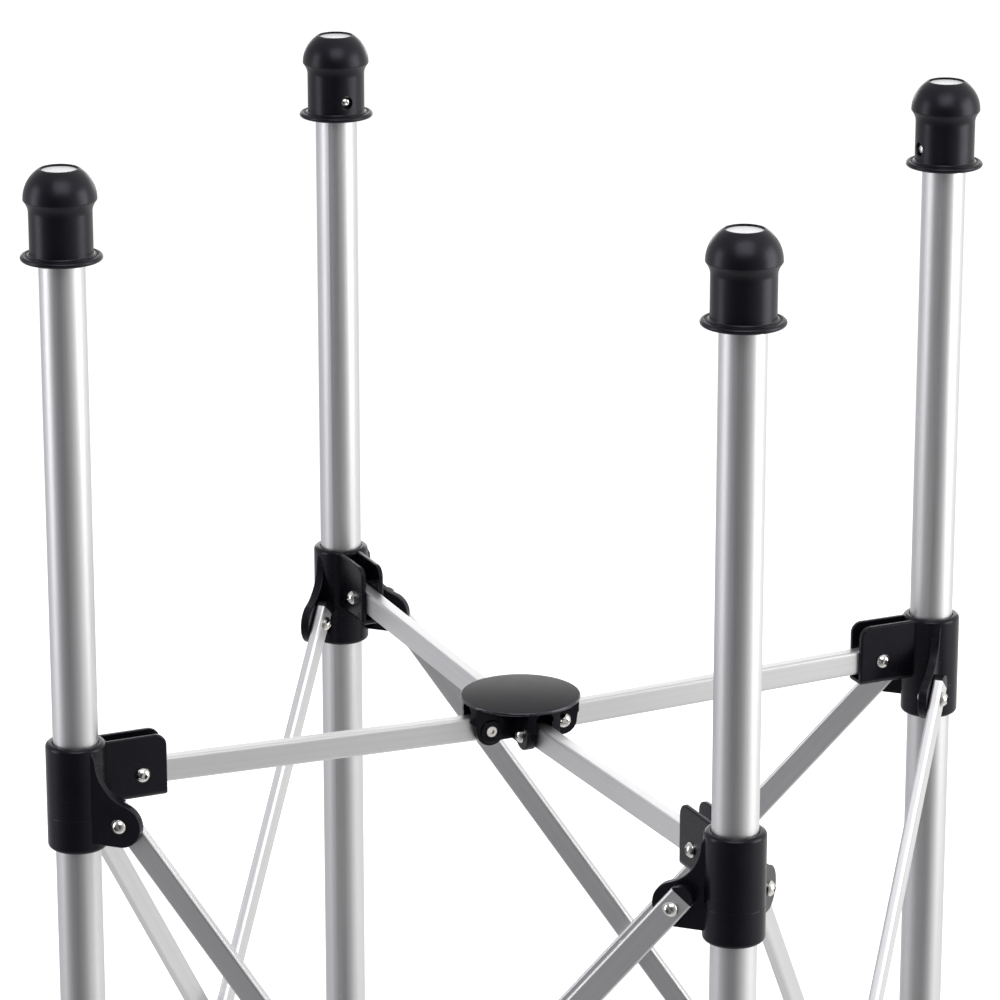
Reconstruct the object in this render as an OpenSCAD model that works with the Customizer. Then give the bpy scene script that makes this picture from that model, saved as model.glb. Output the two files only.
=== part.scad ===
// Folding four-post stand frame: four round posts on a square, a centre hub on four radial bars,
// and a crossed pair of flat struts on each side. Millimetres, +Z up, floor at z = 0.
// Corners run counter-clockwise from above: front_left, front_right, back_right, back_left.

/* [Frame] */
// Distance between the axes of neighbouring posts, frame open
post_spacing = 454; // [420:2:500]
// Height of the cap flanges above the floor
flange_height = 900; // [860:5:960]
// Angle of the side struts below horizontal, frame open
strut_angle = 51.05; // [50:0.05:52]

/* [Posts] */
// Outer diameter of a post tube
tube_d = 30; // [28:0.5:30]
// Wall thickness of a post tube
tube_wall = 1.5; // [1:0.1:2.5]
// Radial gap of a part that stays put on a tube
seat_gap = 0.05; // [0.02:0.01:0.1]
// Radial gap of a collar that slides on a tube
slide_gap = 0.1; // [0.05:0.01:0.1]

/* [Caps] */
// Distance from the hub's top face up to the flange plane
flange_above_hub = 340; // [330:1:350]
// Radius of the flange
flange_r = 26.5; // [25:0.5:28]
// Radius of the cap body between flange and dome
cap_r = 20.5; // [20:0.1:21.5]
// Height of the flat top above the flange plane
cap_top = 57.7; // [56.5:0.1:58]
// Radius of the round badge let into the top
badge_r = 11.8; // [10:0.1:12]

/* [Collars] */
// Outer diameter of the barrel
collar_d = 40; // [39:0.5:42]
// Top of the barrel above the hub's top face
collar_top = 13; // [12:0.5:15]
// Bottom of the barrel below the hub's top face
collar_low = 60; // [57:0.5:62]
// Distance of the radial bar's pin from the post axis
clevis_pin_r = 43; // [42:0.5:44]
// Depth of the radial bar's pin below the hub's top face
clevis_pin_drop = 14.5; // [13:0.5:15]
// Distance of a strut's pin from the post axis, along the side
ear_pin_x = 35.5; // [35:0.5:37]
// Depth of a strut's pin below the hub's top face
ear_pin_drop = 38; // [37:0.5:39]
// Offset of an ear's inner face outside the plane of two post axes
ear_in = 5.5; // [5:0.25:6]
// Offset of an ear's outer face
ear_out = 12; // [11.5:0.25:12.5]

/* [Struts and bars] */
// Height of a strut's flat face
strut_h = 17; // [16:0.5:18]
// Thickness of a strut
strut_t = 7; // [6:0.25:7]
// Height of a radial bar
bar_h = 17; // [15:0.5:17]
// Width of a radial bar
bar_w = 10; // [9:0.25:10]
// Wall thickness of struts and bars
flat_wall = 1.3; // [1:0.1:1.5]

/* [Hub] */
// Radius of the cover disc
hub_r = 41.2; // [40:0.1:42]
// Distance of a bar's pin from the hub's axis
hub_pin_r = 27.2; // [27:0.1:28]
// Depth of a bar's pin below the hub's top face
hub_pin_drop = 20.5; // [20.5:0.25:21.5]

/* [Screws] */
// Shank diameter of the pivot screws
pivot_d = 6; // [5:0.5:6]
// Head diameter of the pivot screws
pivot_head_d = 10.5; // [10:0.5:11]
// Shank diameter of the small screws in caps and feet
small_d = 4; // [3:0.5:4]

/* [Hidden] */
$fn = 96;
CORNERS = ["front_left", "front_right", "back_right", "back_left"];
SIDES = ["front", "right", "back", "left"];
LAYERS = ["inner", "outer"];

// Frame layout worked out from the sizes above
half = post_spacing / 2;
half_diagonal = half * sqrt(2);
hub_top = flange_height - flange_above_hub;
ear_pin_z = hub_top - ear_pin_drop;
clevis_pin_z = hub_top - clevis_pin_drop;
hub_pin_z = hub_top - hub_pin_drop;
strut_run = post_spacing - 2 * ear_pin_x;
strut_drop = strut_run * tan(strut_angle);
strut_length = strut_run / cos(strut_angle);
foot_pin_z = ear_pin_z - strut_drop;
bar_run = half_diagonal - clevis_pin_r - hub_pin_r;
bar_fall = clevis_pin_z - hub_pin_z;
bar_length = sqrt(bar_run * bar_run + bar_fall * bar_fall);
bar_tilt = atan2(bar_fall, bar_run);

// Fits
tube_r = tube_d / 2;
bore_gap = 0.05;
face_gap = 0.25;
pin_r = pivot_d / 2;
hole_r = pin_r + bore_gap;

// Overlap of shapes that join, and how far cutters run past what they open
e = 0.01;
past = 1;
hole_reach = 25;
block_reach = 60;

// Post details
tube_bottom = 5;
tube_top = flange_height + 28;
small_screw_rise = 11.5;
small_head_r = 3.6;
small_head_h = 2.2;
small_tip = 2;
small_recess_r = 4.5;
small_recess_depth = 3;
small_recess_reach = 10;
foot_screw_z = 22;

// Cap details, with heights from the flange plane
flange_t = 3.6;
flare_low = 30.8;
flare_high = 37.2;
flare_out = 3;
lip_high = 38;
dome_start = 37;
dome_centre_r = 0.5;
dome_centre_z = 38;
dome_radius = 23.2;
badge_depth = 2.2;
badge_t = 0.8;
badge_gap = 0.1;
tube_end_gap = 0.2;

// Collar details: the clevis for the radial bar, and the ears' lobe and web
collar_r = collar_d / 2;
edge_r = 3;
clevis_end = 60.5;
clevis_half_w = 8.75;
slot_half_w = 5.3;
clevis_low = 31.5;
clevis_floor = 4;
clevis_corner = 8;
clevis_under_r = 5;
cheek_step = 1;
lobe_r = 15;
web_arc_r = 30;
web_arc_dx = 13.3;
web_arc_dz = 43;
web_tip_x = 15.5;
web_tip_z = 49;

// Foot details
foot_base_r = 25;
foot_base_h = 6;
foot_rim = 1.5;
foot_top_above_pin = collar_low - ear_pin_drop;

// Strut and bar details
strut_edge = 2;
strut_edge_inside = 0.4;
strut_past_pin = 10.7;
plug_nose_r = 8;
plug_nose_centre = 9.5;
plug_depth = 24;
plug_gap = 0.05;
plug_side_gap = 0.2;
bar_edge = 2;
bar_past_pin = 8;
spacer_r = 5.5;
pin_end_gap = 0.1;
outer_face = ear_out + face_gap;
inner_face = ear_in - face_gap;

// Hub details
hub_half_w = 12;
skirt_low = 14;
skirt_in = 0.7;
hub_lobe_r = 10.4;
lobe_proud = 3;
cover_t = 3;
cover_edge = 1.2;
boss_r = 8;
boss_t = 1.2;
sleeve_r = 3.7;
arch_drop = 8.5;
core_half = 15;

// Screw details: a head's socket is a share of the head's radius wide and deep
pivot_head_h = 4;
head_edge = 0.1;
head_rim_h = 0.6;
socket_wide = 0.84;
socket_deep = 0.45;
sleeve_h = 1.8;
sleeve_sunk = 1;
sleeve_socket_d = 4;

black = [0.06, 0.06, 0.07];
silver = [0.78, 0.79, 0.81];
steel = [0.62, 0.62, 0.63];
white = [0.95, 0.95, 0.95];

// ---------- placing ----------

// Puts a corner's own frame in place: origin on the post axis, +X along the side to the next
// corner counter-clockwise, +Y along the other side, and the hub on the diagonal between them.
module at_corner(k) {
    rotate([0, 0, 90 * k]) translate([-half, -half, 0]) children();
}

// Turns +X to face the hub.
module on_diagonal() {
    rotate([0, 0, 45]) children();
}

// Repeats something for both sides that meet at a corner.
module on_both_sides() {
    children();
    mirror([1, -1, 0]) children();
}

// Puts a strut's frame in place: origin at its top pin, +X down along the strut, +Y inwards.
module at_strut(side, layer) {
    k = layer == 0 ? side : (side + 1) % 4;
    at_corner(k) mirror([layer, -layer, 0])
        translate([ear_pin_x, 0, ear_pin_z]) rotate([0, strut_angle, 0]) children();
}

// ---------- shared shapes ----------

// Rectangle with rounded corners, centred.
module round_rect(w, h, r) {
    square([w, h - 2 * r], center = true);
    square([w - 2 * r, h], center = true);
    for (x = [-1, 1], y = [-1, 1]) translate([x * (w / 2 - r), y * (h / 2 - r)]) circle(r);
}

// Round bar of outer radius r from z0 to z1 with rounded rims.
module round_barrel(r, z0, z1, rim) {
    rotate_extrude() {
        translate([0, z0 + rim]) square([r, z1 - z0 - 2 * rim]);
        translate([0, z0]) square([r - rim, z1 - z0]);
        for (z = [z0 + rim, z1 - rim]) translate([r - rim, z]) circle(rim);
    }
}

// Hole for a tube from z0 to z1.
module tube_bore(z0, z1, gap) {
    translate([0, 0, z0]) cylinder(r = tube_r + gap, h = z1 - z0);
}

// Button head standing on z = 0, with a low rim, a domed top and a hex socket.
module button_head(r, h) {
    dome_h = h - head_rim_h;
    dome_r = (r * r + dome_h * dome_h) / (2 * dome_h);
    difference() {
        intersection() {
            translate([0, 0, h - dome_r]) sphere(dome_r);
            cylinder(r = r - head_edge, h = h);
        }
        translate([0, 0, h - r * socket_deep]) cylinder(d = r * socket_wide, h = h, $fn = 6);
    }
}

// Pin along +Y from y0 to y1 with a button head on either end where asked.
module pivot_pin(y0, y1, head0, head1) {
    translate([0, y0, 0]) rotate([-90, 0, 0]) cylinder(r = pin_r, h = y1 - y0);
    if (head0) translate([0, y0, 0]) rotate([90, 0, 0]) button_head(pivot_head_d / 2, pivot_head_h);
    if (head1) translate([0, y1, 0]) rotate([-90, 0, 0]) button_head(pivot_head_d / 2, pivot_head_h);
}

// Cross hole along Y at the origin.
module pin_hole() {
    rotate([90, 0, 0]) cylinder(r = hole_r, h = 2 * hole_reach, center = true);
}

// Small button screw along the diagonal, head outwards, standing in a recess in a wall of radius r.
module small_screw(r) {
    start = tube_r - tube_wall - small_tip;
    translate([r - small_recess_depth, 0, 0]) rotate([0, 90, 0]) button_head(small_head_r, small_head_h);
    translate([start, 0, 0]) rotate([0, 90, 0])
        cylinder(d = small_d, h = r - small_recess_depth - start + e);
}

// Recess and hole that a small screw stands in.
module small_screw_hole(r) {
    translate([r - small_recess_depth, 0, 0]) rotate([0, 90, 0])
        cylinder(r = small_recess_r, h = small_recess_reach);
    rotate([0, 90, 0]) cylinder(r = small_d / 2 + bore_gap, h = r);
}

// Outline of an ear in the side's plane: x from the post axis, y upwards from the pin's height.
module ear_outline() {
    arc_x = ear_pin_x + web_arc_dx;
    tangent = lobe_r / (lobe_r + web_arc_r);
    translate([ear_pin_x, 0]) circle(lobe_r);
    difference() {
        polygon([
            [0, -lobe_r], [ear_pin_x, -lobe_r], [ear_pin_x, 0],
            [ear_pin_x + web_arc_dx * tangent, web_arc_dz * tangent],
            [ear_pin_x + web_arc_dx * tangent, web_arc_dz],
            [arc_x - web_arc_r, web_arc_dz], [web_tip_x, web_tip_z], [0, web_tip_z]
        ]);
        translate([arc_x, web_arc_dz]) circle(web_arc_r);
    }
}

// One ear, standing in its offset plane beside the post.
module ear(pin_z, up) {
    translate([0, -ear_in, pin_z]) rotate([90, 0, 0])
        linear_extrude(ear_out - ear_in) mirror([0, up ? 0 : 1]) ear_outline();
}

// Pin holes of both ears.
module ear_holes(pin_z) {
    on_both_sides() translate([ear_pin_x, 0, pin_z]) pin_hole();
}

// ---------- posts ----------

module post(k) {
    color(silver) at_corner(k) difference() {
        translate([0, 0, tube_bottom]) cylinder(r = tube_r, h = tube_top - tube_bottom);
        translate([0, 0, tube_bottom - e])
            cylinder(r = tube_r - tube_wall, h = tube_top - tube_bottom + 2 * e);
        on_diagonal() for (z = [foot_screw_z, flange_height + small_screw_rise])
            translate([0, 0, z]) rotate([0, 90, 0]) cylinder(r = small_d / 2 + bore_gap, h = 2 * tube_r);
    }
}

// Outline of the cap turned about the post, heights from the flange plane.
module cap_outline() {
    rim = flange_t / 2;
    translate([0, -rim]) square([flange_r - rim, flange_t]);
    translate([flange_r - rim, 0]) circle(rim);
    square([cap_r, dome_start]);
    polygon([
        [0, flare_low], [cap_r, flare_low], [cap_r + flare_out / 3, (flare_low + flare_high) / 2],
        [cap_r + flare_out, flare_high], [cap_r + flare_out, lip_high], [0, lip_high]
    ]);
    intersection() {
        translate([dome_centre_r, dome_centre_z]) circle(dome_radius);
        translate([0, dome_start]) square([flange_r, cap_top - dome_start]);
    }
}

module cap(k) {
    color(black) at_corner(k) translate([0, 0, flange_height]) difference() {
        rotate_extrude() intersection() {
            cap_outline();
            translate([0, -flange_t]) square([flange_r + e, flange_t + cap_top + e]);
        }
        tube_bore(-flange_t, tube_top - flange_height + tube_end_gap, seat_gap);
        translate([0, 0, cap_top - badge_depth]) cylinder(r = badge_r + badge_gap, h = badge_depth + past);
        on_diagonal() translate([0, 0, small_screw_rise]) small_screw_hole(cap_r);
    }
}

module cap_badge(k) {
    color(white) at_corner(k) translate([0, 0, flange_height + cap_top - badge_depth])
        cylinder(r = badge_r, h = badge_t);
}

module foot(k) {
    foot_top = foot_pin_z + foot_top_above_pin;
    color(black) at_corner(k) difference() {
        union() {
            round_barrel(collar_r, foot_base_h / 2, foot_top, edge_r);
            round_barrel(foot_base_r, 0, foot_base_h, foot_rim);
            intersection() {
                on_both_sides() ear(foot_pin_z, false);
                translate([-half, -half, foot_base_h / 2]) cube([2 * half, 2 * half, 2 * half]);
            }
        }
        tube_bore(tube_bottom, foot_top + past, seat_gap);
        ear_holes(foot_pin_z);
        on_diagonal() translate([0, 0, foot_screw_z]) small_screw_hole(collar_r);
    }
}

// Screws of one post: the small ones in cap and foot, and the ear halves of the two lower pivots.
module post_screws(k) {
    color(steel) at_corner(k) {
        on_diagonal() {
            translate([0, 0, flange_height + small_screw_rise]) small_screw(cap_r);
            translate([0, 0, foot_screw_z]) small_screw(collar_r);
        }
        translate([ear_pin_x, 0, foot_pin_z]) pivot_pin(-ear_out, -ear_in, false, true);
        mirror([1, -1, 0]) translate([ear_pin_x, 0, foot_pin_z]) pivot_pin(-ear_out, -ear_in, true, false);
    }
}

// ---------- sliding collars ----------

// Outline of the clevis cheeks in the diagonal plane, heights from the hub's top face.
module cheek_outline() {
    high = collar_top - cheek_step;
    translate([0, -clevis_low]) square([clevis_end - clevis_corner, clevis_low + high]);
    translate([0, -clevis_low + edge_r]) square([clevis_end, clevis_low + high - edge_r - clevis_corner]);
    translate([clevis_end - clevis_corner, high - clevis_corner]) circle(clevis_corner);
    translate([0, -clevis_low]) square([clevis_end - edge_r, 2 * edge_r]);
    translate([clevis_end - edge_r, -clevis_low + edge_r]) circle(edge_r);
}

// Section of the clevis across the diagonal: a block with rounded lower corners.
module clevis_section() {
    r = clevis_under_r;
    translate([-clevis_half_w, r - clevis_low]) square([2 * clevis_half_w, clevis_low + collar_top]);
    translate([r - clevis_half_w, -clevis_low]) square([2 * (clevis_half_w - r), 2 * r]);
    for (x = [-1, 1]) translate([x * (clevis_half_w - r), r - clevis_low]) circle(r);
}

module clevis() {
    on_diagonal() difference() {
        intersection() {
            translate([0, clevis_half_w, hub_top]) rotate([90, 0, 0])
                linear_extrude(2 * clevis_half_w) cheek_outline();
            translate([0, 0, hub_top]) rotate([90, 0, 90])
                linear_extrude(clevis_end) clevis_section();
        }
        translate([collar_r - past, -slot_half_w, hub_top - clevis_low + clevis_floor])
            cube([clevis_end, 2 * slot_half_w, clevis_low + collar_top]);
    }
}

module collar(k) {
    z0 = hub_top - collar_low;
    z1 = hub_top + collar_top;
    color(black) at_corner(k) difference() {
        union() {
            round_barrel(collar_r, z0, z1, edge_r);
            clevis();
            on_both_sides() ear(ear_pin_z, true);
        }
        tube_bore(z0 - past, z1 + past, slide_gap);
        ear_holes(ear_pin_z);
        on_diagonal() translate([clevis_pin_r, 0, clevis_pin_z]) pin_hole();
    }
}

// Pivots of one collar: the radial bar's, the inner strut's and the outer strut's.
module collar_pins(k) {
    inner_end = -(inner_face - strut_t) + face_gap;
    outer_end = -(outer_face + strut_t) - face_gap;
    color(steel) at_corner(k) {
        on_diagonal() translate([clevis_pin_r, 0, clevis_pin_z])
            pivot_pin(-clevis_half_w, clevis_half_w, true, true);
        translate([ear_pin_x, 0, ear_pin_z]) pivot_pin(-ear_out, inner_end, true, true);
        mirror([1, -1, 0]) translate([ear_pin_x, 0, ear_pin_z]) pivot_pin(outer_end, -ear_in, true, true);
    }
}

// ---------- hub and radial bars ----------

module radial_bar(k) {
    color(silver) at_corner(k) on_diagonal() translate([clevis_pin_r, 0, clevis_pin_z])
        rotate([0, bar_tilt, 0]) difference() {
            translate([-bar_past_pin, 0, 0]) rotate([0, 90, 0]) rotate([0, 0, 90])
                linear_extrude(bar_length + 2 * bar_past_pin) difference() {
                    round_rect(bar_w, bar_h, bar_edge);
                    round_rect(bar_w - 2 * flat_wall, bar_h - 2 * flat_wall, bar_edge - flat_wall);
                }
            pin_hole();
            translate([bar_length, 0, 0]) pin_hole();
        }
}

// Outline of one hub block in the bar's plane, heights from the hub's top face: a lobe round the
// pin that hangs below the block, and a skirt that reaches out under the cover disc.
module block_outline() {
    block_low = hub_pin_drop + hub_lobe_r - lobe_proud;
    translate([0, -block_low]) square([hub_pin_r, block_low - cover_t]);
    translate([0, -hub_pin_drop]) square([hub_pin_r + hub_lobe_r, hub_pin_drop - cover_t]);
    translate([hub_pin_r, -hub_pin_drop]) circle(hub_lobe_r);
    translate([0, -skirt_low]) square([hub_r, skirt_low - cover_t]);
}

module hub_body() {
    color(black) translate([0, 0, hub_top]) difference() {
        union() {
            intersection() {
                for (k = [0:3]) rotate([0, 0, 45 + 90 * k]) translate([0, hub_half_w, 0])
                    rotate([90, 0, 0]) linear_extrude(2 * hub_half_w) block_outline();
                translate([0, 0, -hub_top]) cylinder(r = hub_r - skirt_in, h = hub_top);
            }
            for (k = [0:3]) rotate([0, 0, 45 + 90 * k])
                translate([hub_pin_r, hub_half_w - e, -hub_pin_drop]) rotate([-90, 0, 0])
                    cylinder(r = boss_r, h = boss_t);
        }
        for (k = [0:3]) rotate([0, 0, 45 + 90 * k]) {
            translate([core_half, -slot_half_w, -block_reach])
                cube([block_reach, 2 * slot_half_w, block_reach - arch_drop]);
            translate([core_half, 0, -arch_drop]) rotate([0, 90, 0])
                cylinder(r = slot_half_w, h = block_reach);
            translate([hub_pin_r, 0, -hub_pin_drop]) {
                pin_hole();
                translate([0, hub_half_w - sleeve_sunk, 0]) rotate([-90, 0, 0])
                    cylinder(r = sleeve_r + face_gap, h = sleeve_sunk + boss_t + past);
            }
        }
    }
}

module hub_cover() {
    color(black) translate([0, 0, hub_top]) rotate_extrude() {
        translate([0, -cover_t]) square([hub_r, cover_t - cover_edge]);
        square_top = hub_r - cover_edge;
        translate([0, -cover_t]) square([square_top, cover_t]);
        translate([square_top, -cover_edge]) circle(cover_edge);
    }
}

// Four pivots of the hub: a button head on one cheek and a socket sleeve in the boss on the other.
module hub_pins() {
    color(steel) translate([0, 0, hub_top - hub_pin_drop]) for (k = [0:3]) rotate([0, 0, 45 + 90 * k])
        translate([hub_pin_r, 0, 0]) {
            pivot_pin(-hub_half_w, hub_half_w - sleeve_sunk, true, false);
            translate([0, hub_half_w - sleeve_sunk, 0]) rotate([-90, 0, 0]) difference() {
                cylinder(r = sleeve_r, h = sleeve_h);
                translate([0, 0, sleeve_h / 3]) cylinder(d = sleeve_socket_d, h = sleeve_h, $fn = 6);
            }
        }
}

// ---------- side struts ----------

// Faces of a strut, measured inwards from the plane of the post axes.
function strut_low(layer) = layer == 0 ? -inner_face : -outer_face - strut_t;

module strut_section(shrink) {
    edge = max(strut_edge - shrink, strut_edge_inside);
    round_rect(strut_t - 2 * shrink, strut_h - 2 * shrink, edge);
}

module strut(side, layer) {
    mid = strut_low(layer) + strut_t / 2;
    color(silver) at_strut(side, layer) difference() {
        translate([-strut_past_pin, mid, 0]) rotate([0, 90, 0]) rotate([0, 0, 90])
            linear_extrude(strut_length + 2 * strut_past_pin) difference() {
                strut_section(0);
                strut_section(flat_wall);
            }
        for (x = [0, 0.5, 1]) translate([x * strut_length, mid, 0]) pin_hole();
    }
}

// Plastic plugs in both ends of a strut, each with a round nose.
module strut_plugs(side, layer) {
    mid = strut_low(layer) + strut_t / 2;
    color(black) at_strut(side, layer) for (end = [0, 1])
        translate([end * strut_length, 0, 0]) mirror([end, 0, 0]) difference() {
            union() {
                translate([-strut_past_pin - e, mid, 0]) rotate([0, 90, 0]) rotate([0, 0, 90])
                    linear_extrude(plug_depth) strut_section(flat_wall + plug_gap);
                intersection() {
                    translate([-plug_nose_centre, mid, 0]) rotate([90, 0, 0])
                        cylinder(r = plug_nose_r, h = strut_t - 2 * plug_side_gap, center = true);
                    translate([-strut_past_pin - block_reach, -block_reach, -block_reach])
                        cube([block_reach, 2 * block_reach, 2 * block_reach]);
                }
            }
            translate([0, mid, 0]) pin_hole();
        }
}

// Strut halves of the crossing pivot, with its spacer, and of the lower pivot.
module strut_pins(side, layer) {
    low = strut_low(layer);
    high = low + strut_t;
    spacer = (outer_face - inner_face) / 2 - pin_end_gap;
    color(steel) at_strut(side, layer) {
        for (x = [0.5, 1]) translate([x * strut_length, 0, 0])
            pivot_pin(low, high, layer == 1, layer == 0);
        translate([strut_length / 2, layer == 0 ? low - spacer : high, 0])
            rotate([-90, 0, 0]) cylinder(r = spacer_r, h = spacer);
    }
}

// ---------- output ----------

for (k = [0:3]) {
    post(k);
    cap(k);
    cap_badge(k);
    foot(k);
    post_screws(k);
    collar(k);
    collar_pins(k);
    radial_bar(k);
}
hub_body();
hub_cover();
hub_pins();
for (s = [0:3], l = [0, 1]) {
    strut(s, l);
    strut_plugs(s, l);
    strut_pins(s, l);
}
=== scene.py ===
"""Looks of the folding four-post stand frame: moulded black caps, collars, hub and feet, satin
anodised tubes, struts and bars, and polished button screws, in a plain white studio."""
import math
import bmesh
import bpy
from mathutils import Matrix, Vector


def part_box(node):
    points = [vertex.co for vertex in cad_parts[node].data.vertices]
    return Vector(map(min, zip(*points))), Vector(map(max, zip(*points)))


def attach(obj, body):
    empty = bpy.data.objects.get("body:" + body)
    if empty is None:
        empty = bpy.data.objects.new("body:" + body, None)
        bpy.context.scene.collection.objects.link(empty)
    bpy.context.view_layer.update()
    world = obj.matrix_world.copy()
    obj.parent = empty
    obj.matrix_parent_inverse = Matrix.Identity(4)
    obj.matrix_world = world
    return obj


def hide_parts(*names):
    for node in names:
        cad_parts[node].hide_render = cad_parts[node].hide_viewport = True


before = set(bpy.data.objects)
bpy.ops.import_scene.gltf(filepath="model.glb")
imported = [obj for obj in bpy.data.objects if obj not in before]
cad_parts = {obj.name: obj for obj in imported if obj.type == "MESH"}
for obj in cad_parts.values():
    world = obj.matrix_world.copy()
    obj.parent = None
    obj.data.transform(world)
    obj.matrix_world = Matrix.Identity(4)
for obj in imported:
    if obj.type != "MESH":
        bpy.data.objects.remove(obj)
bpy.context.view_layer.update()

MM = 0.001
CORNERS = ["front_left", "front_right", "back_right", "back_left"]
SIDES = ["front", "right", "back", "left"]
LAYERS = ["inner", "outer"]


def mm_box(node):
    """A CAD node's box in millimetres."""
    low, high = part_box(node)
    return Vector(low) / MM, Vector(high) / MM


# ---------- places and sizes in millimetres: from the frame's boxes, or as in the CAD ----------

POST_LOW, POST_HIGH = mm_box("post_front_left")
HALF = -(POST_LOW.x + POST_HIGH.x) / 2  # from the middle of the frame to a post axis
TUBE_R = (POST_HIGH.x - POST_LOW.x) / 2
HUB_TOP = mm_box("hub_cover")[1].z
HUB_R = mm_box("hub_cover")[1].x
CAP_LOW, CAP_HIGH = mm_box("cap_front_left")
FLANGE_R = (CAP_HIGH.x - CAP_LOW.x) / 2
FLANGE_T = 3.6
FLANGE_Z = CAP_LOW.z + FLANGE_T / 2
CAP_TOP = CAP_HIGH.z - FLANGE_Z
COLLAR_LOW = mm_box("collar_front_left")[0].z
COLLAR_HIGH = mm_box("collar_front_left")[1].z
FOOT_HIGH = mm_box("foot_front_left")[1].z
COLLAR_R = 20.0
SCREW_RISE = 11.5  # of the cap's small screw above the flange
FOOT_SCREW_Z = 22.0
EAR_PIN_X = 35.5
EAR_PIN_Z = HUB_TOP - 38.0
FOOT_PIN_Z = FOOT_HIGH - 22.0
EAR_IN = 5.5
EAR_OUT = 12.0
CLEVIS_PIN_R = 43.0
CLEVIS_PIN_Z = HUB_TOP - 14.5
HUB_PIN_R = 27.2
HUB_PIN_Z = HUB_TOP - 20.5
PIN_HOLE_R = 3.05
CLEVIS_LOW = -31.5
CHEEK_HIGH = COLLAR_HIGH - HUB_TOP - 1.0
BADGE_SEAT = 2.2
RIM_WIDTH = 0.75  # of the polished edge of the hub's cover
MOUTH_GAP = 0.9  # round the post, at the mouths of caps, collars and feet
BARE_EDGE = (0.05, 1)  # edge and steps of a plate that only cuts


# ---------- mesh helpers, all in millimetres until finished ----------

def arc(cx, cy, r, start, end, steps):
    """Points along an arc, angles in degrees, both ends included."""
    points = []
    for i in range(steps + 1):
        a = math.radians(start + (end - start) * i / steps)
        points.append((cx + r * math.cos(a), cy + r * math.sin(a)))
    return points


def mesh_object(name, verts, faces):
    """A new mesh object in the scene."""
    mesh = bpy.data.meshes.new(name)
    mesh.from_pydata([tuple(v) for v in verts], [], faces)
    obj = bpy.data.objects.new(name, mesh)
    bpy.context.scene.collection.objects.link(obj)
    return obj


def lathe(profile, steps=96):
    """Solid of revolution about Z of a closed counter-clockwise loop of (radius, height)."""
    verts = []
    rings = []
    for r, z in profile:
        if r < 1e-6:
            rings.append([len(verts)] * steps)
            verts.append((0, 0, z))
            continue
        rings.append(list(range(len(verts), len(verts) + steps)))
        for i in range(steps):
            a = 2 * math.pi * i / steps
            verts.append((r * math.cos(a), r * math.sin(a), z))
    faces = []
    for ring, after in zip(rings, rings[1:] + rings[:1]):
        for i in range(steps):
            j = (i + 1) % steps
            face = []
            for v in (ring[i], ring[j], after[j], after[i]):
                if v not in face:
                    face.append(v)
            if len(face) > 2:
                faces.append(face)
    return mesh_object("lathe", verts, faces)


def inset(points, d, sharpest=0.35):
    """A counter-clockwise outline moved inwards by d, and by less at corners past the sharpest."""
    moved = []
    n = len(points)
    for i in range(n):
        p, q, r = Vector(points[i - 1]), Vector(points[i]), Vector(points[(i + 1) % n])
        a = (q - p).normalized()
        b = (r - q).normalized()
        na = Vector((-a.y, a.x))
        nb = Vector((-b.y, b.x))
        bisector = (na + nb).normalized()
        moved.append(q + bisector * d / max(sharpest, bisector.dot(na)))
    return moved


def plate(outline, low, high, edge=0.8, steps=3):
    """Outline in X and Z, extruded along Y from low to high, with rounded rims."""
    layers = [(low + edge * (1 - math.cos(math.pi / 2 * i / steps)),
               edge * (1 - math.sin(math.pi / 2 * i / steps))) for i in range(steps + 1)]
    layers += [(high - (y - low), d) for y, d in reversed(layers)]
    verts = []
    n = len(outline)
    for y, d in layers:
        for x, z in (inset(outline, d) if d > 1e-6 else outline):
            verts.append((x, y, z))
    faces = [list(range(n)), list(range(len(verts) - 1, len(verts) - n - 1, -1))]
    for k in range(len(layers) - 1):
        for i in range(n):
            j = (i + 1) % n
            faces.append([k * n + j, k * n + i, (k + 1) * n + i, (k + 1) * n + j])
    return mesh_object("plate", verts, faces)


def placed(obj, matrix):
    """Moves a piece's mesh by a matrix."""
    obj.data.transform(matrix)
    return obj


def turned(degrees):
    """A turn about Z."""
    return Matrix.Rotation(math.radians(degrees), 4, "Z")


MIRROR = Matrix(((0, 1, 0, 0), (1, 0, 0, 0), (0, 0, 1, 0), (0, 0, 0, 1)))
ALONG_X = Matrix.Rotation(math.radians(90), 4, "Y")
ALONG_Y = Matrix.Rotation(math.radians(-90), 4, "X")
FACE_OUT = Matrix(((0, 1, 0, 0), (-1, 0, 0, 0), (0, 0, 1, 0), (0, 0, 0, 1)))


def mirrored(obj):
    """Swaps X and Y, and turns the faces round again."""
    obj.data.transform(MIRROR)
    obj.data.flip_normals()
    return obj


def rod(r, length, matrix, steps=48):
    """Cylinder about Z from 0 to length, put in place by matrix."""
    return placed(lathe([(0, 0), (r, 0), (r, length), (0, length)], steps), matrix)


def combine(base, others, operation):
    """Boolean of base with the others, which are used up."""
    for other in others:
        modifier = base.modifiers.new("join", "BOOLEAN")
        modifier.operation = operation
        modifier.solver = "EXACT"
        modifier.object = other
        graph = bpy.context.evaluated_depsgraph_get()
        mesh = bpy.data.meshes.new_from_object(base.evaluated_get(graph))
        base.modifiers.clear()
        base.data = mesh
        bpy.data.objects.remove(other, do_unlink=True)
    return base


# ---------- outlines ----------

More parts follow.
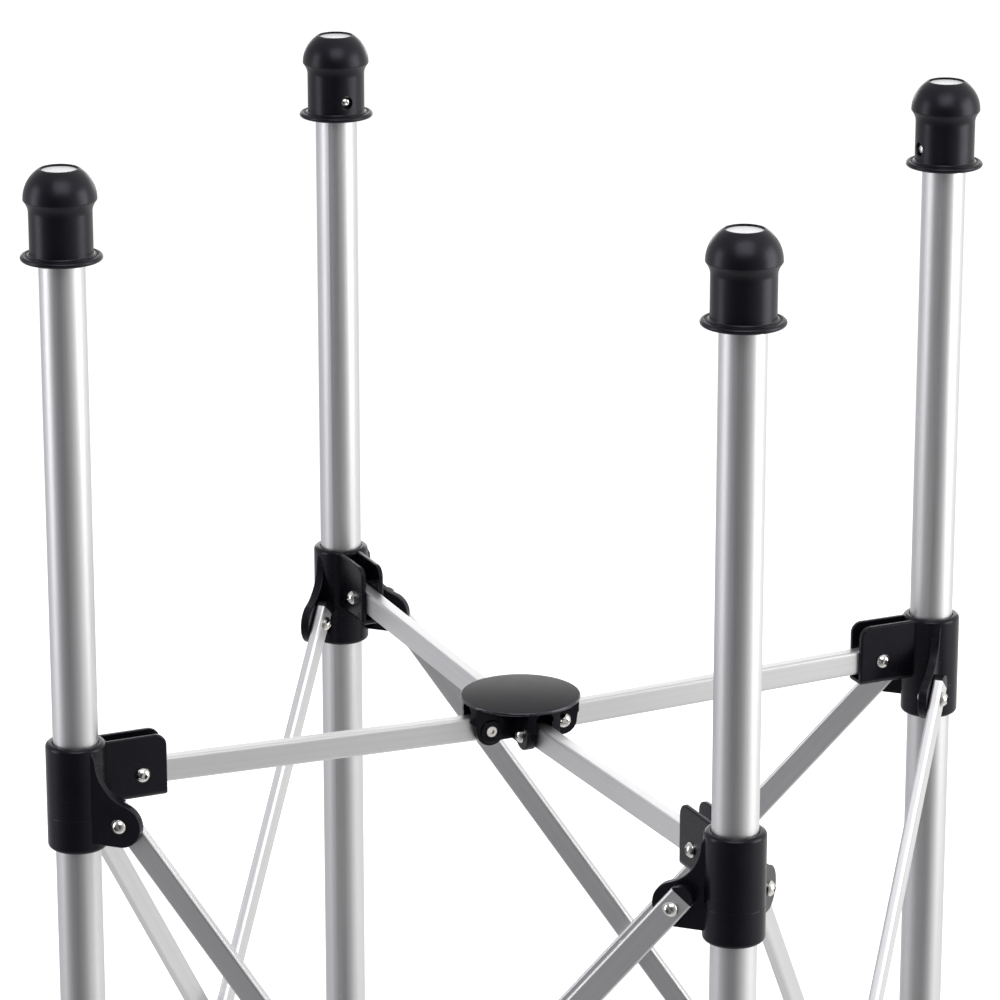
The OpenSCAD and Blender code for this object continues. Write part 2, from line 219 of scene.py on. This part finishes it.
def ear_outline():
    """Ear in the side's plane: x from the post axis, height from the pin's."""
    lobe_r, web_r = 15.0, 30.0
    web_x, web_z = EAR_PIN_X + 13.3, 43.0
    tip_x, tip_z = 15.5, 49.0
    meet = math.degrees(math.atan2(web_z, web_x - EAR_PIN_X))
    points = [(0, -lobe_r)]
    points += arc(EAR_PIN_X, 0, lobe_r, -90, meet, 24)
    points += arc(web_x, web_z, web_r, meet + 180, 180, 14)[1:]
    points += [(tip_x, tip_z), (0, tip_z)]
    return points


def cheek_outline():
    """Clevis cheek in the diagonal plane: x from the post axis, height from the hub's top."""
    end, low, corner, foot_corner = 60.5, CLEVIS_LOW, 8.0, 3.0
    high = CHEEK_HIGH
    points = [(0, low)]
    points += arc(end - foot_corner, low + foot_corner, foot_corner, -90, 0, 6)
    points += arc(end - corner, high - corner, corner, 0, 90, 10)
    points += [(0, high)]
    return points


def block_outline():
    """One hub block in its bar's plane: x from the hub's axis, height from the hub's top."""
    lobe_r, lobe_proud = 10.4, 3.0
    rim, step_low, skirt_low, top = HUB_R - 0.2, -16.5, -14.0, -2.9
    x, z = HUB_PIN_R, HUB_PIN_Z - HUB_TOP
    low = z - lobe_r + lobe_proud
    meet = -180 - math.degrees(math.asin((low - z) / lobe_r))
    points = [(0, low)]
    points += arc(x, z, lobe_r, meet, 0, 20)
    points += [(x + lobe_r + 0.6, step_low), (rim, skirt_low), (rim, top), (0, top)]
    return points


# ---------- pieces ----------

def post_side_piece(low, high, pin_z, ear_up, base=None):
    """Barrel with rounded lips round the post, and an ear for each side's strut. Gives the piece, the
    cutters of its pin holes, and the radius of its mouths."""
    r, lip, mouth = COLLAR_R, 3.0, TUBE_R + MOUTH_GAP
    seam_rise, seam_half, seam_deep = 23.5, 0.4, 0.22
    ear_edge, hole_start, hole_long = 0.9, EAR_OUT + 4, 20.0
    seam = low + seam_rise if ear_up else high - seam_rise
    outer = arc(r - lip, low + lip, lip, -90, 0, 6)
    outer += [(r, seam - seam_half), (r - seam_deep, seam), (r, seam + seam_half)]
    outer += arc(r - lip, high - lip, lip, 0, 90, 6)
    body = lathe([(0, low)] + outer + [(0, high)])
    parts = []
    for side in (0, 1):
        ear = plate(ear_outline(), -EAR_OUT, -EAR_IN, ear_edge)
        if not ear_up:
            ear.data.transform(Matrix.Scale(-1, 4, (0, 0, 1)))
            ear.data.flip_normals()
        placed(ear, Matrix.Translation((0, 0, pin_z)))
        parts.append(mirrored(ear) if side else ear)
    if base:
        parts.append(base)
    body = combine(body, parts, "UNION")
    across = Matrix.Translation((EAR_PIN_X, -hole_start, pin_z)) @ ALONG_Y
    holes = [rod(PIN_HOLE_R, hole_long, across), mirrored(rod(PIN_HOLE_R, hole_long, across))]
    return body, holes, mouth


def tube_cutter(low, high, gap, mouth):
    """Bore for the post with a rounded mouth at each open end."""
    r = TUBE_R + gap
    past, touch, step, deep, narrowed = 1.0, 0.01, 0.5, 1.4, 0.3
    shoulder = r + (mouth - r) * narrowed
    half = [(0, past), (mouth + past, past), (mouth, touch), (shoulder, -step), (r, -deep)]
    return lathe([(x, low - z) for x, z in half] + [(x, high + z) for x, z in reversed(half)])


def clevis():
    """Open-topped U for a radial bar, along X, heights from the hub's top."""
    slot_half, half_w, low, high, floor_top = 5.3, 8.75, CLEVIS_LOW, CHEEK_HIGH, CLEVIS_LOW + 4
    lower, upper, rim, chamfer, past = 5.0, 0.9, 1.3, 0.8, 9.0
    start, reach, slot_reach = -5.0, 70.0, 80.0
    chamfer_low, chamfer_high = high - 0.6, high + 0.1
    block = plate(cheek_outline(), -half_w, half_w, rim, steps=4)
    section = arc(half_w - lower, low + lower, lower, -90, 0, 6)
    section += arc(half_w - upper, high - upper, upper, 0, 90, 3)
    section += [(-x, z) for x, z in reversed(section)]
    rounding = placed(plate(section, start, reach, *BARE_EDGE), FACE_OUT)
    wall = [(slot_half, floor_top), (slot_half, chamfer_low)]
    wall += [(slot_half + chamfer, chamfer_high), (slot_half + chamfer, high + past)]
    slot = wall + [(-x, z) for x, z in reversed(wall)]
    cut = placed(plate(slot, COLLAR_R - 1, slot_reach, *BARE_EDGE), FACE_OUT)
    return combine(combine(block, [rounding], "INTERSECT"), [cut], "DIFFERENCE")


def collar_mesh():
    """Sliding collar: two ears, and a clevis towards the hub."""
    hole_start, hole_long, bore_gap = 15.0, 30.0, 0.1
    body, holes, mouth = post_side_piece(COLLAR_LOW, COLLAR_HIGH, EAR_PIN_Z, True)
    body = combine(body, [placed(clevis(), turned(45) @ Matrix.Translation((0, 0, HUB_TOP)))], "UNION")
    cross = Matrix.Translation((CLEVIS_PIN_R, -hole_start, CLEVIS_PIN_Z)) @ ALONG_Y
    holes.append(rod(PIN_HOLE_R, hole_long, turned(45) @ cross))
    holes.append(tube_cutter(COLLAR_LOW, COLLAR_HIGH, bore_gap, mouth))
    return combine(body, holes, "DIFFERENCE")


def foot_mesh():
    """Foot: a barrel on a round base, with the collar's two ears upside down."""
    base_r, base_h, edge, barrel_low = 25.0, 6.0, 1.5, 3.0
    bore_low, bore_gap, below_r, below_deep = 5.0, 0.05, 120.0, 60.0
    rim = arc(base_r - edge, edge, edge, -90, 0, 5)
    rim += arc(base_r - edge, base_h - edge, edge, 0, 90, 5)
    base = lathe([(0, 0)] + rim + [(0, base_h)])
    body, holes, mouth = post_side_piece(barrel_low, FOOT_HIGH, FOOT_PIN_Z, False, base)
    below = rod(below_r, below_deep, Matrix.Translation((0, 0, -below_deep)))
    body = combine(body, [below], "DIFFERENCE")
    bore = tube_cutter(bore_low, FOOT_HIGH, bore_gap, mouth)
    screw = recess_cutter(COLLAR_R, FOOT_SCREW_Z)
    return combine(body, holes + [bore, screw], "DIFFERENCE")


def recess_cutter(r, height):
    """Recess for a small screw that faces the hub, with a chamfered mouth."""
    deep, wide, chamfer, past, reach = 3.0, 4.5, 0.7, 0.4, 12.0
    mouth = wide + chamfer
    profile = [(0, 0), (wide, 0), (wide, deep - chamfer), (mouth, deep + past)]
    cut = lathe(profile + [(mouth, reach), (0, reach)], steps=48)
    return placed(cut, turned(45) @ Matrix.Translation((r - deep, 0, height)) @ ALONG_X)


def cap_mesh():
    """Cap: flange with a rounded rim and a ring groove, neck, flare, and dome with a badge seat."""
    neck_r, half, fillet = 20.5, FLANGE_T / 2, 1.6
    groove_x, groove_r = 23.1, 0.8
    flare_z, flare_h, flare_out = 29.6, 7.75, 3.05
    dome_x, dome_z, dome_r = 0.5, 38.0, 23.2
    dome_start, dome_stop = -0.4, CAP_TOP - 0.25 - dome_z
    seat_r, seat = 11.9, BADGE_SEAT
    start = math.degrees(math.asin(dome_start / dome_r))
    stop = math.degrees(math.asin(dome_stop / dome_r))
    outline = [(TUBE_R + MOUTH_GAP, -half), (FLANGE_R - half, -half)]
    outline += arc(FLANGE_R - half, 0, half, -80, 90, 10)
    outline += arc(groove_x, half, groove_r, 0, -180, 8)
    outline += arc(neck_r + fillet, half + fillet, fillet, -90, -180, 6)
    outline += [(neck_r + flare_out * (i / 8) ** 2, flare_z + flare_h * i / 8) for i in range(9)]
    outline += arc(dome_x, dome_z, dome_r, start, stop, 30)
    outline += [(seat_r + x, CAP_TOP + z) for x, z in ((0.4, 0), (0.12, -0.06), (0, -0.3))]
    outline += [(seat_r, CAP_TOP - seat), (0, CAP_TOP - seat)]
    inner, hollow, chamfer = TUBE_R + 0.05, 28.2, 1.0
    outline += [(0, hollow), (inner, hollow), (inner, chamfer - half)]
    cap = lathe(outline, steps=128)
    placed(cap, Matrix.Translation((0, 0, FLANGE_Z)))
    return combine(cap, [recess_cutter(neck_r, FLANGE_Z + SCREW_RISE)], "DIFFERENCE")


def badge_mesh():
    """Plain disc sunk into the cap's top, with a rounded edge."""
    thick, r, edge = 0.8, 11.8, 0.25
    top = CAP_TOP - BADGE_SEAT + thick
    profile = [(0, top - thick), (r, top - thick)]
    profile += arc(r - edge, top - edge, edge, 0, 90, 4) + [(0, top)]
    return placed(lathe(profile), Matrix.Translation((0, 0, FLANGE_Z)))


def hub_mesh():
    """Four two-cheek blocks in one casting, with arched slots and a boss on one cheek of each."""
    half_w, slot_half, arch_z, core, reach = 12.0, 5.3, -8.5, 15.0, 60.0
    mouth_half, mouth_x = slot_half + 1.3, 35.5
    boss_r, boss_h, boss_edge, dish_r, dish_deep = 8.0, 1.2, 0.4, 5.2, 0.3
    hole_start, hole_long = 16.0, 30.0
    sleeve_hole_r, sleeve_deep, sleeve_long = 3.95, 1.0, 5.0
    up = Matrix.Translation((0, 0, HUB_TOP))
    blocks = []
    cutters = []
    for k in range(4):
        turn = turned(45 + 90 * k)
        blocks.append(placed(plate(block_outline(), -half_w, half_w, edge=1.0), turn @ up))
        boss = [(0, 0), (boss_r, 0), (boss_r, boss_h - boss_edge), (boss_r - boss_edge, boss_h)]
        boss += [(dish_r, boss_h), (dish_r - dish_deep, boss_h - dish_deep), (0, boss_h - dish_deep)]
        cheek = Matrix.Translation((HUB_PIN_R, half_w - 0.02, HUB_PIN_Z)) @ ALONG_Y
        blocks.append(placed(lathe(boss, steps=64), turn @ cheek))
        arch = [(-slot_half, -reach), (slot_half, -reach)]
        arch += arc(0, arch_z, slot_half, 0, 180, 16)
        cutters.append(placed(plate(arch, core, reach, *BARE_EDGE), turn @ up @ FACE_OUT))
        mouth = [(-mouth_half, arch_z)] + arc(0, arch_z, mouth_half, 0, 180, 16)[:-1]
        cutters.append(placed(plate(mouth, mouth_x, reach, *BARE_EDGE), turn @ up @ FACE_OUT))
        cross = Matrix.Translation((HUB_PIN_R, -hole_start, HUB_PIN_Z)) @ ALONG_Y
        cutters.append(rod(PIN_HOLE_R, hole_long, turn @ cross))
        sleeve = Matrix.Translation((HUB_PIN_R, half_w - sleeve_deep, HUB_PIN_Z)) @ ALONG_Y
        cutters.append(rod(sleeve_hole_r, sleeve_long, turn @ sleeve))
    body = combine(blocks[0], blocks[1:], "UNION")
    round_wall = rod(HUB_R - 0.7, reach, Matrix.Translation((0, 0, HUB_TOP - reach)), steps=160)
    return combine(combine(body, [round_wall], "INTERSECT"), cutters, "DIFFERENCE")


def cover_mesh():
    """Cover disc of the hub: slightly crowned top, and a tight rounded edge."""
    r, thick, crown, edge, chamfer = HUB_R, 3.0, 1.0, 0.7, 0.3
    profile = [(0, -thick), (r - chamfer, -thick), (r, -thick + chamfer)]
    profile += arc(r - edge, -crown - edge, edge, 0, 88, 6)
    profile += [(r * t, -crown * t * t) for t in (0.9, 0.75, 0.6, 0.45, 0.3, 0.15)] + [(0, 0)]
    return placed(lathe(profile, steps=160), Matrix.Translation((0, 0, HUB_TOP)))


# ---------- materials ----------

def new_material(name):
    """An empty node material: the material, its nodes, links and shader."""
    material = bpy.data.materials.new(name)
    material.use_nodes = True
    nodes, links = material.node_tree.nodes, material.node_tree.links
    return material, nodes, links, nodes["Principled BSDF"]


def ramp(nodes, links, source, stops):
    """Colour ramp on a source: stops are (position, colour)."""
    node = nodes.new("ShaderNodeValToRGB")
    while len(node.color_ramp.elements) < len(stops):
        node.color_ramp.elements.new(0.5)
    for element, (position, colour) in zip(node.color_ramp.elements, stops):
        element.position = position
        element.color = (*colour, 1)
    links.new(source, node.inputs["Fac"])
    return node.outputs["Color"]


def spread(nodes, links, source, low, high):
    """Maps a 0 to 1 source to a range."""
    node = nodes.new("ShaderNodeMapRange")
    node.inputs["To Min"].default_value = low
    node.inputs["To Max"].default_value = high
    links.new(source, node.inputs["Value"])
    return node.outputs["Result"]


def noise(nodes, links, vector, scale, detail=3.0, rough=0.5):
    """Noise texture on a vector, as a 0 to 1 value."""
    node = nodes.new("ShaderNodeTexNoise")
    node.inputs["Scale"].default_value = scale
    node.inputs["Detail"].default_value = detail
    node.inputs["Roughness"].default_value = rough
    links.new(vector, node.inputs["Vector"])
    return node.outputs["Fac"]


def bump(nodes, links, shader, sources):
    """Chain of bumps: sources are (height, strength, distance in metres)."""
    last = None
    for height, strength, distance in sources:
        node = nodes.new("ShaderNodeBump")
        node.inputs["Strength"].default_value = strength
        node.inputs["Distance"].default_value = distance
        links.new(height, node.inputs["Height"])
        if last:
            links.new(last, node.inputs["Normal"])
        last = node.outputs["Normal"]
    links.new(last, shader.inputs["Normal"])


def aluminium(name, direction, brushed=0.0):
    """Satin anodised aluminium with fine drawing lines along a direction. Brushed is how far the
    lines stretch highlights across them."""
    material, nodes, links, shader = new_material(name)
    place = nodes.new("ShaderNodeTexCoord").outputs["Object"]
    turn = nodes.new("ShaderNodeMapping")
    turn.vector_type = "TEXTURE"
    turn.inputs["Rotation"].default_value = Vector(direction).to_track_quat("Z", "Y").to_euler()
    links.new(place, turn.inputs["Vector"])
    stretch = nodes.new("ShaderNodeMapping")
    stretch.inputs["Scale"].default_value = (1, 1, 0.006)
    links.new(turn.outputs["Vector"], stretch.inputs["Vector"])
    lines = noise(nodes, links, stretch.outputs["Vector"], scale=2600, detail=2.0)
    broad = noise(nodes, links, stretch.outputs["Vector"], scale=420, detail=3.0)
    cloud = noise(nodes, links, place, scale=9.0, detail=4.0)
    grain = noise(nodes, links, place, scale=3200, detail=2.0)
    tone = nodes.new("ShaderNodeMix")
    tone.inputs["Factor"].default_value = 0.35
    links.new(broad, tone.inputs["A"])
    links.new(cloud, tone.inputs["B"])
    colour = ramp(nodes, links, tone.outputs["Result"], [
        (0.25, (0.655, 0.65, 0.65)),
        (0.5, (0.705, 0.70, 0.70)),
        (0.8, (0.755, 0.75, 0.748))])
    links.new(colour, shader.inputs["Base Color"])
    links.new(spread(nodes, links, lines, low=0.36, high=0.50), shader.inputs["Roughness"])
    shader.inputs["Metallic"].default_value = 1.0
    if brushed:
        across = nodes.new("ShaderNodeVectorTransform")
        across.vector_type = "VECTOR"
        across.convert_from = "OBJECT"
        across.convert_to = "WORLD"
        across.inputs["Vector"].default_value = direction
        links.new(across.outputs["Vector"], shader.inputs["Tangent"])
        shader.inputs["Anisotropic"].default_value = brushed
        shader.inputs["Anisotropic Rotation"].default_value = 0.25
    bump(nodes, links, shader, [(lines, 0.10, 0.00002), (grain, 0.10, 0.00002)])
    return material


def black_plastic(name, rough, gloss):
    """Moulded glass-filled nylon: fine grain, faint flow marks, and patches that are duller."""
    material, nodes, links, shader = new_material(name)
    place = nodes.new("ShaderNodeTexCoord").outputs["Object"]
    grain = noise(nodes, links, place, scale=1500, detail=3.0, rough=0.6)
    flow = noise(nodes, links, place, scale=32, detail=4.0)
    patch = noise(nodes, links, place, scale=120, detail=5.0, rough=0.65)
    colour = ramp(nodes, links, flow, [
        (0.3, (0.0020, 0.0019, 0.0031)),
        (0.55, (0.0030, 0.0028, 0.0044)),
        (0.8, (0.0046, 0.0044, 0.0064))])
    links.new(colour, shader.inputs["Base Color"])
    links.new(spread(nodes, links, patch, low=rough - 0.07, high=rough + 0.09), shader.inputs["Roughness"])
    shader.inputs["Specular IOR Level"].default_value = gloss
    shader.inputs["Specular Tint"].default_value = (0.90, 0.88, 1.0, 1.0)
    bump(nodes, links, shader, [(flow, 0.08, 0.0004), (grain, 0.06, 0.00003)])
    return material


def polished_steel(name):
    """Bright stainless screws with a little smear and fine turning marks."""
    material, nodes, links, shader = new_material(name)
    place = nodes.new("ShaderNodeTexCoord").outputs["Object"]
    smear = noise(nodes, links, place, scale=260, detail=3.0)
    fine = noise(nodes, links, place, scale=4200, detail=2.0)
    colour = ramp(nodes, links, smear, [(0.3, (0.66, 0.64, 0.61)), (0.7, (0.78, 0.76, 0.73))])
    links.new(colour, shader.inputs["Base Color"])
    links.new(spread(nodes, links, smear, low=0.05, high=0.16), shader.inputs["Roughness"])
    shader.inputs["Metallic"].default_value = 1.0
    bump(nodes, links, shader, [(fine, 0.06, 0.00001)])
    return material


def white_badge(name):
    """Plain glossy white disc with a faint orange-peel."""
    material, nodes, links, shader = new_material(name)
    place = nodes.new("ShaderNodeTexCoord").outputs["Object"]
    peel = noise(nodes, links, place, scale=700, detail=2.0)
    dust = noise(nodes, links, place, scale=90, detail=5.0, rough=0.7)
    colour = ramp(nodes, links, dust, [(0.3, (0.80, 0.80, 0.80)), (0.7, (0.87, 0.87, 0.87))])
    links.new(colour, shader.inputs["Base Color"])
    links.new(spread(nodes, links, dust, low=0.22, high=0.36), shader.inputs["Roughness"])
    bump(nodes, links, shader, [(peel, 0.05, 0.00003)])
    return material


# ---------- finishing a piece ----------

def smooth(obj, degrees=32):
    """Smooth shading with sharp edges kept, and flat faces kept flat."""
    for polygon in obj.data.polygons:
        polygon.use_smooth = True
    obj.data.set_sharp_from_angle(angle=math.radians(degrees))
    weighted = obj.modifiers.new("weighted", "WEIGHTED_NORMAL")
    weighted.keep_sharp = True


def cleaned(obj):
    """Merges doubles that the joins leave, and scales millimetres to metres."""
    work = bmesh.new()
    work.from_mesh(obj.data)
    bmesh.ops.remove_doubles(work, verts=work.verts, dist=0.002)
    bmesh.ops.dissolve_degenerate(work, edges=work.edges, dist=0.001)
    work.to_mesh(obj.data)
    work.free()
    obj.data.transform(Matrix.Scale(MM, 4))
    return obj


def at_corner(k):
    """Corner k's own frame: origin on its post's axis, hub on the diagonal."""
    return turned(90 * k) @ Matrix.Translation((-HALF * MM, -HALF * MM, 0))


def finish_piece(obj, body, node, material):
    """A new piece: its material, the CAD node it replaces and the body it rides."""
    obj.data.materials.clear()
    obj.data.materials.append(material)
    smooth(obj)
    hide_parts(node)
    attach(obj, body)


def four_of(mesh, name, node, body, material):
    """One copy of a piece for each corner, standing for that corner's CAD node."""
    for k, corner in enumerate(CORNERS):
        obj = bpy.data.objects.new(f"{name}_{corner}", mesh.data.copy())
        bpy.context.scene.collection.objects.link(obj)
        obj.data.transform(at_corner(k))
        finish_piece(obj, f"{body}_{corner}", f"{node}_{corner}", material)
    bpy.data.objects.remove(mesh, do_unlink=True)


def polish_rim(obj, radius, material):
    """Gives the faces beyond a radius from the hub's axis a second material."""
    obj.data.materials.append(material)
    for polygon in obj.data.polygons:
        if polygon.center.xy.length > radius:
            polygon.material_index = 1


def dress(node, material):
    """A CAD node that keeps its shape and gets a better material."""
    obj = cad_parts[node]
    obj.data.materials.clear()
    obj.data.materials.append(material)


# ---------- build ----------

CAP_BLACK = black_plastic("cap_plastic", rough=0.33, gloss=0.31)
COLLAR_BLACK = black_plastic("collar_plastic", rough=0.26, gloss=0.24)
HUB_BLACK = black_plastic("hub_plastic", rough=0.20, gloss=0.16)
COVER_BLACK = black_plastic("cover_plastic", rough=0.22, gloss=0.035)
RIM_BLACK = black_plastic("rim_plastic", rough=0.12, gloss=1.0)
PLUG_BLACK = black_plastic("plug_plastic", rough=0.40, gloss=0.3)
STEEL = polished_steel("polished_steel")
BADGE = white_badge("badge_white")

four_of(cleaned(cap_mesh()), "domed_cap", "cap", "post_assembly", CAP_BLACK)
four_of(cleaned(badge_mesh()), "badge_disc", "cap_badge", "post_assembly", BADGE)
four_of(cleaned(foot_mesh()), "foot_shoe", "foot", "post_assembly", COLLAR_BLACK)
four_of(cleaned(collar_mesh()), "collar_moulding", "collar", "sliding_collar", COLLAR_BLACK)

hub = cleaned(hub_mesh())
hub.name = "hub_casting"
finish_piece(hub, "hub", "hub_body", HUB_BLACK)
cover = cleaned(cover_mesh())
cover.name = "hub_disc"
finish_piece(cover, "hub", "hub_cover", COVER_BLACK)
polish_rim(cover, (HUB_R - RIM_WIDTH) * MM, RIM_BLACK)

POST_METAL = aluminium("anodised_posts", (0, 0, 1))
STRUT_RUN = 2 * HALF - 2 * EAR_PIN_X
STRUT_DROP = EAR_PIN_Z - FOOT_PIN_Z
BAR_RUN = HALF * math.sqrt(2) - CLEVIS_PIN_R - HUB_PIN_R
for k, corner in enumerate(CORNERS):
    dress(f"post_{corner}", POST_METAL)
    dress(f"post_screws_{corner}", STEEL)
    dress(f"collar_pins_{corner}", STEEL)
    along = turned(45 + 90 * k) @ Vector((BAR_RUN, 0, HUB_PIN_Z - CLEVIS_PIN_Z))
    dress(f"radial_bar_{corner}", aluminium(f"anodised_bar_{corner}", along, brushed=0.5))
dress("hub_pins", STEEL)
for i, side in enumerate(SIDES):
    for layer, sign in zip(LAYERS, (1, -1)):
        along = turned(90 * i) @ Vector((sign * STRUT_RUN, 0, -STRUT_DROP))
        dress(f"strut_{side}_{layer}", aluminium(f"anodised_strut_{side}_{layer}", along, brushed=0.3))
        dress(f"strut_plugs_{side}_{layer}", PLUG_BLACK)
        dress(f"strut_pins_{side}_{layer}", STEEL)


# ---------- studio ----------

def studio_floor():
    """Plain white paper, bright enough to melt into the background."""
    half = 14.0
    corners = [(-half, -half, 0), (half, -half, 0), (half, half, 0), (-half, half, 0)]
    floor = mesh_object("floor", corners, [[0, 1, 2, 3]])
    material, nodes, links, shader = new_material("floor_paper")
    place = nodes.new("ShaderNodeTexCoord").outputs["Object"]
    fibre = noise(nodes, links, place, scale=60, detail=4.0)
    paper = ramp(nodes, links, fibre, [(0.3, (0.90, 0.90, 0.90)), (0.7, (0.93, 0.93, 0.93))])
    links.new(paper, shader.inputs["Base Color"])
    shader.inputs["Roughness"].default_value = 0.9
    shader.inputs["Specular IOR Level"].default_value = 0.1
    shader.inputs["Emission Color"].default_value = (1, 1, 1, 1)
    shader.inputs["Emission Strength"].default_value = 0.42
    floor.data.materials.append(material)
    floor.visible_glossy = False


def spread_signed(nodes, links, source):
    """Maps a -1 to 1 source to 0 to 1."""
    node = nodes.new("ShaderNodeMapRange")
    node.inputs["From Min"].default_value = -1.0
    links.new(source, node.inputs["Value"])
    return node.outputs["Result"]


def studio_world():
    """White all round to the camera. What lights and mirrors in the frame is darker where the
    photographer stands, and cooler and dimmer to the left."""
    world = bpy.data.worlds.new("studio")
    bpy.context.scene.world = world
    world.use_nodes = True
    nodes, links = world.node_tree.nodes, world.node_tree.links
    background = nodes["Background"]
    direction = nodes.new("ShaderNodeTexCoord").outputs["Generated"]

    def along(vector):
        node = nodes.new("ShaderNodeVectorMath")
        node.operation = "DOT_PRODUCT"
        node.inputs[1].default_value = Vector(vector).normalized()
        links.new(direction, node.inputs[0])
        return node.outputs["Value"]

    side = ramp(nodes, links, spread_signed(nodes, links, along(TO_RIGHT)), [
        (0.0, (0.64, 0.64, 0.67)),
        (0.15, (0.58, 0.58, 0.61)),
        (0.5, (0.86, 0.86, 0.87)),
        (0.75, (0.95, 0.95, 0.95))])
    front = ramp(nodes, links, spread_signed(nodes, links, along(TO_DARK)), [
        (0.60, (1.0, 1.0, 1.0)),
        (0.82, (0.50, 0.50, 0.50)),
        (0.93, (0.24, 0.24, 0.245)),
        (1.0, (0.05, 0.05, 0.053))])
    mixed = nodes.new("ShaderNodeMix")
    mixed.data_type = "RGBA"
    mixed.blend_type = "MULTIPLY"
    mixed.inputs["Factor"].default_value = 1.0
    links.new(side, mixed.inputs["A"])
    links.new(front, mixed.inputs["B"])
    seen = nodes.new("ShaderNodeMix")
    seen.data_type = "RGBA"
    links.new(nodes.new("ShaderNodeLightPath").outputs["Is Camera Ray"], seen.inputs["Factor"])
    links.new(mixed.outputs["Result"], seen.inputs["A"])
    seen.inputs["B"].default_value = (1, 1, 1, 1)
    links.new(seen.outputs["Result"], background.inputs["Color"])
    background.inputs["Strength"].default_value = 1.0


def softbox(name, place, target, width, height, power, colour):
    """Rectangular lamp at a place, facing a target: sizes in metres, power in watts."""
    data = bpy.data.lights.new(name, "AREA")
    data.shape = "RECTANGLE"
    data.size = width
    data.size_y = height
    data.energy = power
    data.color = colour
    light = bpy.data.objects.new(name, data)
    bpy.context.scene.collection.objects.link(light)
    light.location = place
    light.rotation_euler = (Vector(target) - Vector(place)).to_track_quat("-Z", "Y").to_euler()


CAMERA_PLACE = Vector((1.0342, -2.7869, HUB_TOP * MM + 1.0538))
LOOK_AZIMUTH = math.radians(20.63)  # to the left of straight to the back
LOOK_DOWN = math.radians(17.13)
LEVEL = Vector((-math.sin(LOOK_AZIMUTH), math.cos(LOOK_AZIMUTH), 0))
LOOK = LEVEL * math.cos(LOOK_DOWN) - Vector((0, 0, math.sin(LOOK_DOWN)))
TO_RIGHT = Vector((LEVEL.y, -LEVEL.x, 0))
DARK_LEAN = 0.12  # how far the dark part lies to the camera's left
TO_DARK = (-LEVEL - DARK_LEAN * TO_RIGHT).normalized()
MIDDLE = Vector((0, 0, HUB_TOP * MM))
SIDE_AWAY, SIDE_UP, SIDE_TALL = 2.4, 0.45, 1.9  # of the two side boxes, in metres


def studio_camera():
    """The photo's camera, as fitted to its caps, posts, collars and hub."""
    data = bpy.data.cameras.new("camera")
    data.sensor_width = 36.0
    data.lens = 165.8
    data.clip_end = 60.0
    camera = bpy.data.objects.new("camera", data)
    bpy.context.scene.collection.objects.link(camera)
    camera.location = CAMERA_PLACE
    camera.rotation_euler = LOOK.to_track_quat("-Z", "Y").to_euler()
    bpy.context.scene.camera = camera


def light_from(turn, distance, height):
    """A place round the middle: turn degrees to the right of where the camera stands."""
    a = math.radians(turn)
    way = -LEVEL * math.cos(a) + TO_RIGHT * math.sin(a)
    return MIDDLE + way * distance + Vector((0, 0, height))


studio_floor()
studio_world()
LEFT = light_from(turn=-80, distance=SIDE_AWAY, height=SIDE_UP)
RIGHT = light_from(turn=79, distance=SIDE_AWAY, height=SIDE_UP)
ABOVE = light_from(turn=4, distance=1.5, height=1.9)
BEHIND = light_from(turn=178, distance=2.2, height=0.42)
softbox("left_box", LEFT, MIDDLE, width=0.9, height=SIDE_TALL, power=15, colour=(0.96, 0.96, 1.0))
softbox("right_box", RIGHT, MIDDLE, width=1.5, height=SIDE_TALL, power=31, colour=(1.0, 0.99, 0.98))
softbox("top_box", ABOVE, MIDDLE, width=1.7, height=1.4, power=22, colour=(0.96, 0.96, 1.0))
softbox("back_box", BEHIND, MIDDLE, width=2.2, height=0.55, power=8.5, colour=(1.0, 1.0, 1.0))
studio_camera()
bpy.context.scene.view_settings.view_transform = "Standard"
